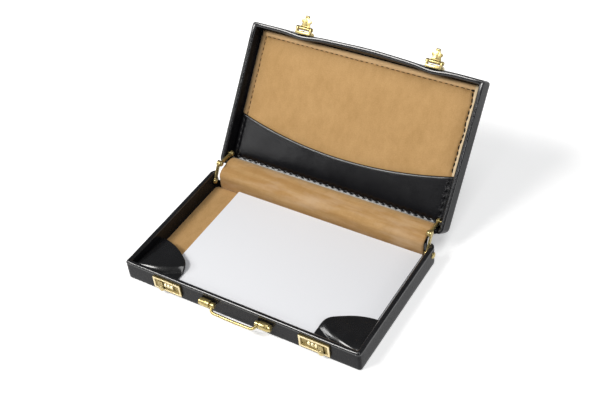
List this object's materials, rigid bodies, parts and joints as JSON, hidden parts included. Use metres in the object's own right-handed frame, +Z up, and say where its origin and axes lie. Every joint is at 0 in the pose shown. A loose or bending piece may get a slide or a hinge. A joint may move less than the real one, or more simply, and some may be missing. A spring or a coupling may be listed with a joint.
{
  "type": "business card case",
  "caption": "Miniature attache case for business cards: hinged lid with sewn lining and pocket, retaining flaps, folding stays, flip latches, number locks and a wire handle.",
  "frame": {"origin": "middle of the flat underside of the base tray", "axes": "+X to the right seen from the handle side, +Y towards the hinge, +Z up"},
  "size_m": [0.1056, 0.1137, 0.0617],
  "materials": {
    "leatherette": "smooth semi-gloss black leatherette",
    "pocket_leather": "glossy fine-grained black leather",
    "velvet_lining": "camel velvet, short nap",
    "brass_fitting": "polished gold-tone plate",
    "brass_wheel": "satin gold-tone plate",
    "card": "smooth white card"
  },
  "bodies": {
    "base": {"base_shell": "leatherette", "base_floor_lining": "velvet_lining", "card_stack": "card", "hinge_strip_base": "velvet_lining", "hinge_spine": "leatherette", "corner_flap_left": "pocket_leather", "handle_mount_left": "brass_fitting", "lock_plate_left": "brass_fitting", "wheel_axle_left": "brass_fitting", "stay_base_rivet_left": "brass_fitting", "corner_flap_right": "pocket_leather", "handle_mount_right": "brass_fitting", "lock_plate_right": "brass_fitting", "wheel_axle_right": "brass_fitting", "stay_base_rivet_right": "brass_fitting"},
    "lid": {"lid_shell": "leatherette", "lid_lining": "velvet_lining", "lid_pocket": "pocket_leather", "hinge_strip_lid": "velvet_lining", "latch_bracket_left": "brass_fitting", "latch_pin_left": "brass_fitting", "stay_lid_rivet_left": "brass_fitting", "latch_bracket_right": "brass_fitting", "latch_pin_right": "brass_fitting", "stay_lid_rivet_right": "brass_fitting"},
    "handle": {"handle_bail": "brass_fitting"},
    "latch_left": {"latch_hasp_left": "brass_fitting"},
    "lock_button_left": {"lock_button_left": "brass_fitting"},
    "stay_lower_left": {"stay_lower_left": "brass_fitting"},
    "stay_upper_left": {"stay_upper_left": "brass_fitting", "stay_elbow_rivet_left": "brass_fitting"},
    "wheel_left_1": {"number_wheel_left_1": "brass_wheel"},
    "wheel_left_2": {"number_wheel_left_2": "brass_wheel"},
    "wheel_left_3": {"number_wheel_left_3": "brass_wheel"},
    "latch_right": {"latch_hasp_right": "brass_fitting"},
    "lock_button_right": {"lock_button_right": "brass_fitting"},
    "stay_lower_right": {"stay_lower_right": "brass_fitting"},
    "stay_upper_right": {"stay_upper_right": "brass_fitting", "stay_elbow_rivet_right": "brass_fitting"},
    "wheel_right_1": {"number_wheel_right_1": "brass_wheel"},
    "wheel_right_2": {"number_wheel_right_2": "brass_wheel"},
    "wheel_right_3": {"number_wheel_right_3": "brass_wheel"}
  },
  "joints": [
    {"name": "lid_hinge", "type": "hinge", "parent": "base", "child": "lid", "pos_m": [0, 0.0327, 0.0078], "axis": [1, 0, 0], "range_deg": [0, 128]},
    {"name": "handle_swing", "type": "hinge", "parent": "base", "child": "handle", "pos_m": [0, -0.0318, 0.0053], "axis": [-1, 0, 0], "range_deg": [-65, 105]},
    {"name": "latch_left", "type": "hinge", "parent": "lid", "child": "latch_left", "pos_m": [-0.0283, 0.07509, 0.05767], "axis": [1, 0, 0], "range_deg": [0, 90]},
    {"name": "lock_button_left", "type": "slide", "parent": "base", "child": "lock_button_left", "axis": [-1, 0, 0], "range_m": [0, 0.0012], "stiffness_N_per_m": 20},
    {"name": "stay_lower_left", "type": "hinge", "parent": "base", "child": "stay_lower_left", "pos_m": [-0.0494, 0.0274, 0.0052], "axis": [1, 0, 0], "range_deg": [0, 118]},
    {"name": "stay_upper_left", "type": "hinge", "parent": "lid", "child": "stay_upper_left", "pos_m": [-0.0485, 0.03994, 0.0109], "axis": [1, 0, 0], "range_deg": [-81, 0]},
    {"name": "wheel_left_1", "type": "hinge", "parent": "base", "child": "wheel_left_1", "pos_m": [-0.02955, -0.03045, 0.00485], "axis": [1, 0, 0], "continuous": true},
    {"name": "wheel_left_2", "type": "hinge", "parent": "base", "child": "wheel_left_2", "pos_m": [-0.03105, -0.03045, 0.00485], "axis": [1, 0, 0], "continuous": true},
    {"name": "wheel_left_3", "type": "hinge", "parent": "base", "child": "wheel_left_3", "pos_m": [-0.03255, -0.03045, 0.00485], "axis": [1, 0, 0], "continuous": true},
    {"name": "latch_right", "type": "hinge", "parent": "lid", "child": "latch_right", "pos_m": [0.0302, 0.07509, 0.05767], "axis": [1, 0, 0], "range_deg": [0, 90]},
    {"name": "lock_button_right", "type": "slide", "parent": "base", "child": "lock_button_right", "axis": [1, 0, 0], "range_m": [0, 0.0012], "stiffness_N_per_m": 20},
    {"name": "stay_lower_right", "type": "hinge", "parent": "base", "child": "stay_lower_right", "pos_m": [0.0494, 0.0274, 0.0052], "axis": [1, 0, 0], "range_deg": [0, 118]},
    {"name": "stay_upper_right", "type": "hinge", "parent": "lid", "child": "stay_upper_right", "pos_m": [0.0485, 0.03994, 0.0109], "axis": [1, 0, 0], "range_deg": [-81, 0]},
    {"name": "wheel_right_1", "type": "hinge", "parent": "base", "child": "wheel_right_1", "pos_m": [0.03145, -0.03045, 0.00485], "axis": [1, 0, 0], "continuous": true},
    {"name": "wheel_right_2", "type": "hinge", "parent": "base", "child": "wheel_right_2", "pos_m": [0.03295, -0.03045, 0.00485], "axis": [1, 0, 0], "continuous": true},
    {"name": "wheel_right_3", "type": "hinge", "parent": "base", "child": "wheel_right_3", "pos_m": [0.03445, -0.03045, 0.00485], "axis": [1, 0, 0], "continuous": true}
  ],
  "couplings": [
    {"joint": "stay_lower_left", "follows": "lid_hinge", "ratio": 0.91579},
    {"joint": "stay_upper_left", "follows": "lid_hinge", "ratio": -0.62786},
    {"joint": "stay_lower_right", "follows": "lid_hinge", "ratio": 0.91579},
    {"joint": "stay_upper_right", "follows": "lid_hinge", "ratio": -0.62786}
  ]
}
